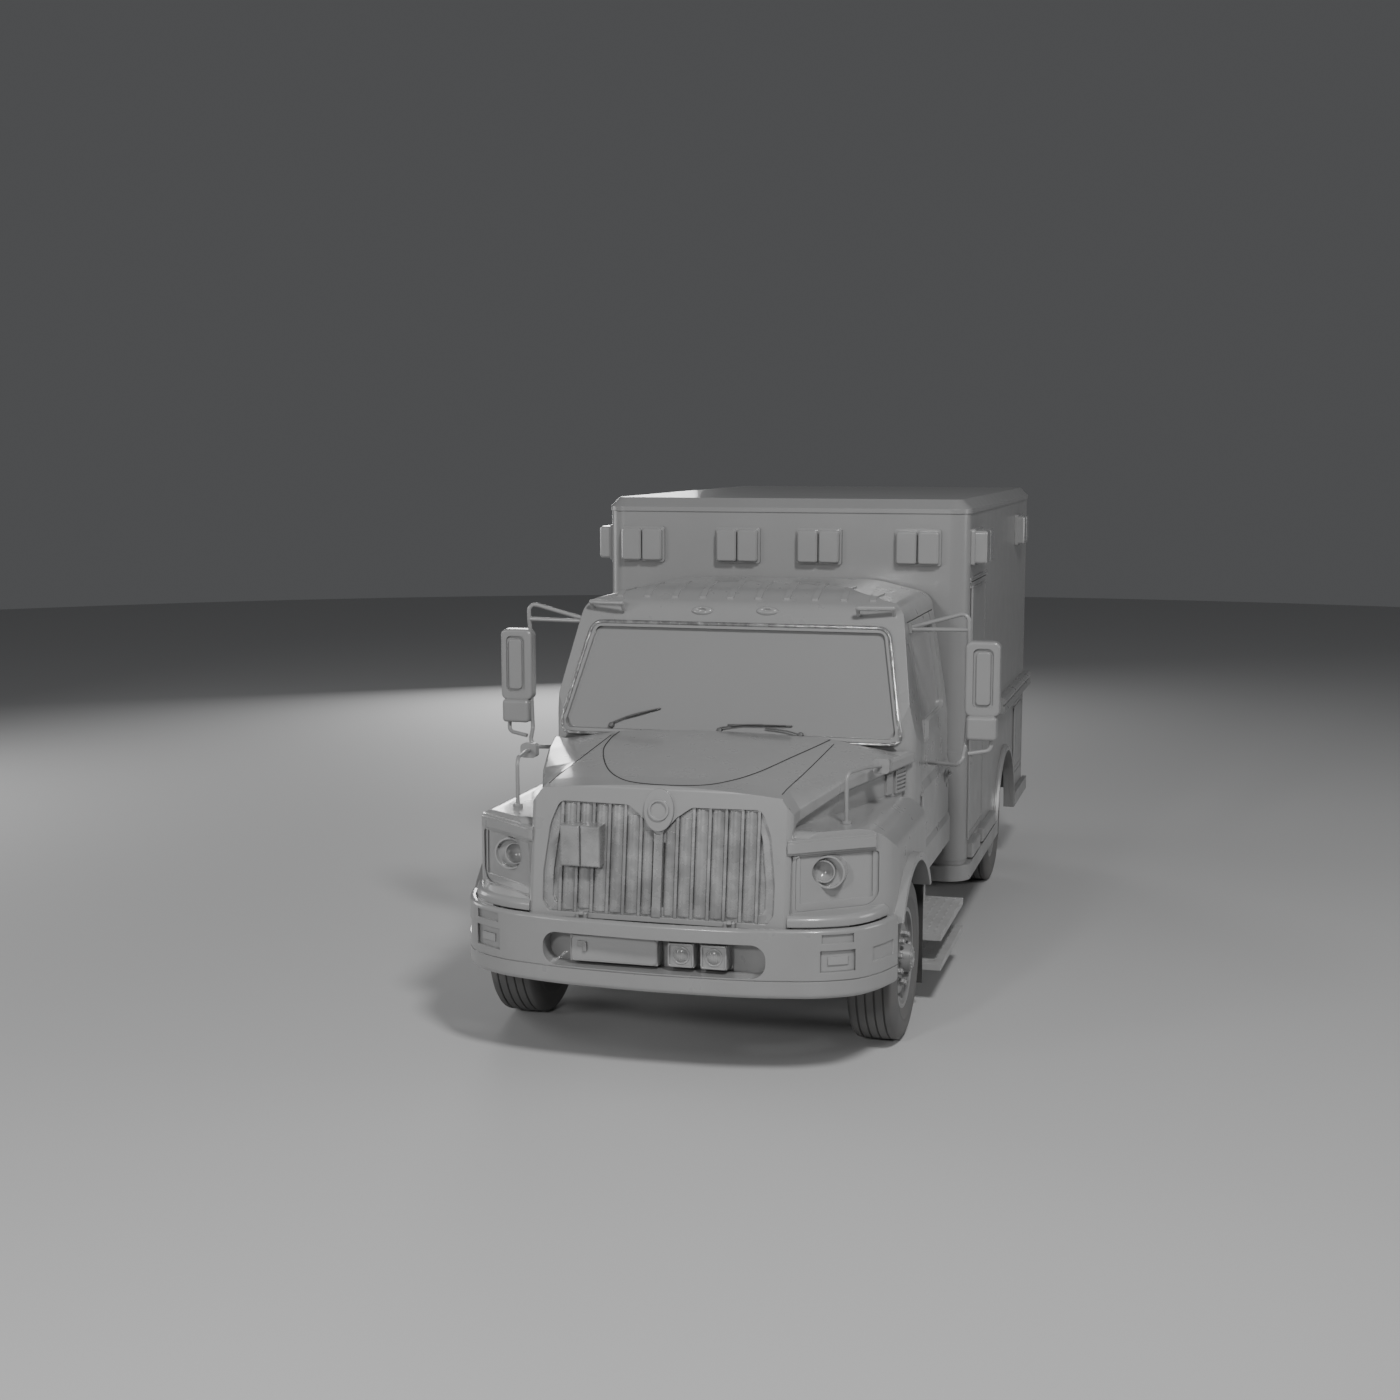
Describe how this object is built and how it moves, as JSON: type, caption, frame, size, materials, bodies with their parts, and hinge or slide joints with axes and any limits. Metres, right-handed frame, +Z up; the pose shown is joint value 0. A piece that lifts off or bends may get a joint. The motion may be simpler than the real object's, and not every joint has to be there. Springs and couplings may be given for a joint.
{
  "type": "box ambulance on a bonneted truck chassis",
  "caption": "Bonneted truck-based ambulance with a square patient module, twin rear wheels, wrap-round bumper, tilting hood, opening doors and steered front wheels.",
  "frame": {"origin": "on the ground under the middle of the whole vehicle", "axes": "+X forward, +Y to the vehicle's left, +Z up"},
  "size_m": [7.0671, 3.166, 2.9999],
  "materials": {
    "chassis_paint": "satin",
    "engine_iron": "cast",
    "exhaust_steel": "dull",
    "tank_aluminium": "brushed",
    "flap_rubber": "matte",
    "tread_plate": "punched grip plate",
    "bumper_paint": "satin",
    "lamp_lens": "glossy",
    "cab_paint": "satin",
    "smoked_glass": "glossy",
    "dash_plastic": "grained",
    "seat_cover": "grained",
    "module_paint": "satin",
    "floor_vinyl": "matte",
    "locker_aluminium": "mill",
    "cabinet_laminate": "smooth",
    "rail_trim": "satin",
    "bright_grille": "bright",
    "mirror_housing": "satin",
    "tyre_rubber": "matte",
    "wheel_steel": "satin"
  },
  "bodies": {
    "root": {"frame_rails": "chassis_paint", "engine": "engine_iron", "front_axle": "chassis_paint", "leaf_springs": "chassis_paint", "rear_axle": "chassis_paint", "exhaust": "exhaust_steel", "fuel_tank": "tank_aluminium", "mud_flaps": "flap_rubber", "cab_steps": "tread_plate", "front_bumper": "bumper_paint", "bumper_lamps": "lamp_lens", "cab_shell": "cab_paint", "windscreen": "smoked_glass", "dashboard": "dash_plastic", "seats": "seat_cover", "module_front": "module_paint", "module_left": "module_paint", "module_right": "module_paint", "module_rear": "module_paint", "module_roof": "module_paint", "module_floor": "floor_vinyl", "module_lockers": "locker_aluminium", "module_cabinets": "cabinet_laminate", "skirt_rails": "rail_trim", "warning_lamps": "lamp_lens", "rear_step": "tread_plate"},
    "hood": {"hood_shell": "cab_paint", "grille": "bright_grille", "headlamps": "lamp_lens", "hood_mirrors": "mirror_housing"},
    "left_cab_door": {"left_door": "cab_paint", "left_door_glass": "smoked_glass", "left_mirror": "mirror_housing"},
    "right_cab_door": {"right_door": "cab_paint", "right_door_glass": "smoked_glass", "right_mirror": "mirror_housing"},
    "side_entry_door": {"side_door": "module_paint", "side_door_glass": "smoked_glass"},
    "rear_left_leaf": {"rear_left_door": "module_paint", "rear_left_door_glass": "smoked_glass"},
    "rear_right_leaf": {"rear_right_door": "module_paint", "rear_right_door_glass": "smoked_glass"},
    "left_front_locker_door": {"left_front_locker": "module_paint"},
    "left_rear_locker_door": {"left_rear_locker": "module_paint"},
    "right_rear_locker_door": {"right_rear_locker": "module_paint"},
    "left_steering_knuckle": {"left_knuckle": "chassis_paint"},
    "right_steering_knuckle": {"right_knuckle": "chassis_paint"},
    "front_left_wheel": {"front_left_tyre": "tyre_rubber", "front_left_rim": "wheel_steel"},
    "front_right_wheel": {"front_right_tyre": "tyre_rubber", "front_right_rim": "wheel_steel"},
    "rear_left_wheels": {"rear_left_tyre": "tyre_rubber", "rear_left_rim": "wheel_steel"},
    "rear_right_wheels": {"rear_right_tyre": "tyre_rubber", "rear_right_rim": "wheel_steel"}
  },
  "joints": [
    {"name": "hood_tilt", "type": "hinge", "parent": "root", "child": "hood", "pos_m": [3.44, 0, 0.862], "axis": [0, 1, 0], "range_deg": [0, 60]},
    {"name": "left_cab_door_swing", "type": "hinge", "parent": "root", "child": "left_cab_door", "pos_m": [1.612, 1.139, 1], "axis": [0, 0, -1], "range_deg": [0, 70]},
    {"name": "right_cab_door_swing", "type": "hinge", "parent": "root", "child": "right_cab_door", "pos_m": [1.612, -1.139, 1], "axis": [0, 0, 1], "range_deg": [0, 70]},
    {"name": "side_entry_door_swing", "type": "hinge", "parent": "root", "child": "side_entry_door", "pos_m": [-0.472, -1.241, 1], "axis": [0, 0, 1], "range_deg": [0, 90]},
    {"name": "rear_left_leaf_swing", "type": "hinge", "parent": "root", "child": "rear_left_leaf", "pos_m": [-3.294, 0.657, 1], "axis": [0, 0, -1], "range_deg": [0, 110]},
    {"name": "rear_right_leaf_swing", "type": "hinge", "parent": "root", "child": "rear_right_leaf", "pos_m": [-3.294, -0.657, 1], "axis": [0, 0, 1], "range_deg": [0, 110]},
    {"name": "left_front_locker_swing", "type": "hinge", "parent": "root", "child": "left_front_locker_door", "pos_m": [0.268, 1.241, 1], "axis": [0, 0, -1], "range_deg": [0, 90]},
    {"name": "left_rear_locker_swing", "type": "hinge", "parent": "root", "child": "left_rear_locker_door", "pos_m": [-2.472, 1.241, 0.9], "axis": [0, 0, -1], "range_deg": [0, 90]},
    {"name": "right_rear_locker_swing", "type": "hinge", "parent": "root", "child": "right_rear_locker_door", "pos_m": [-2.472, -1.241, 0.9], "axis": [0, 0, 1], "range_deg": [0, 90]},
    {"name": "left_steer", "type": "hinge", "parent": "root", "child": "left_steering_knuckle", "pos_m": [2.411, 0.905, 0.465], "axis": [0, 0, 1], "range_deg": [-35, 35]},
    {"name": "right_steer", "type": "hinge", "parent": "root", "child": "right_steering_knuckle", "pos_m": [2.411, -0.905, 0.465], "axis": [0, 0, 1], "range_deg": [-35, 35]},
    {"name": "front_left_wheel_spin", "type": "hinge", "parent": "left_steering_knuckle", "child": "front_left_wheel", "pos_m": [2.411, 1.053, 0.465], "axis": [0, 1, 0], "continuous": true},
    {"name": "front_right_wheel_spin", "type": "hinge", "parent": "right_steering_knuckle", "child": "front_right_wheel", "pos_m": [2.411, -1.053, 0.465], "axis": [0, 1, 0], "continuous": true},
    {"name": "rear_left_wheels_spin", "type": "hinge", "parent": "root", "child": "rear_left_wheels", "pos_m": [-1.811, 0.872, 0.465], "axis": [0, 1, 0], "continuous": true},
    {"name": "rear_right_wheels_spin", "type": "hinge", "parent": "root", "child": "rear_right_wheels", "pos_m": [-1.811, -0.872, 0.465], "axis": [0, 1, 0], "continuous": true}
  ],
  "couplings": [
    {"joint": "right_steer", "follows": "left_steer", "ratio": 1}
  ]
}
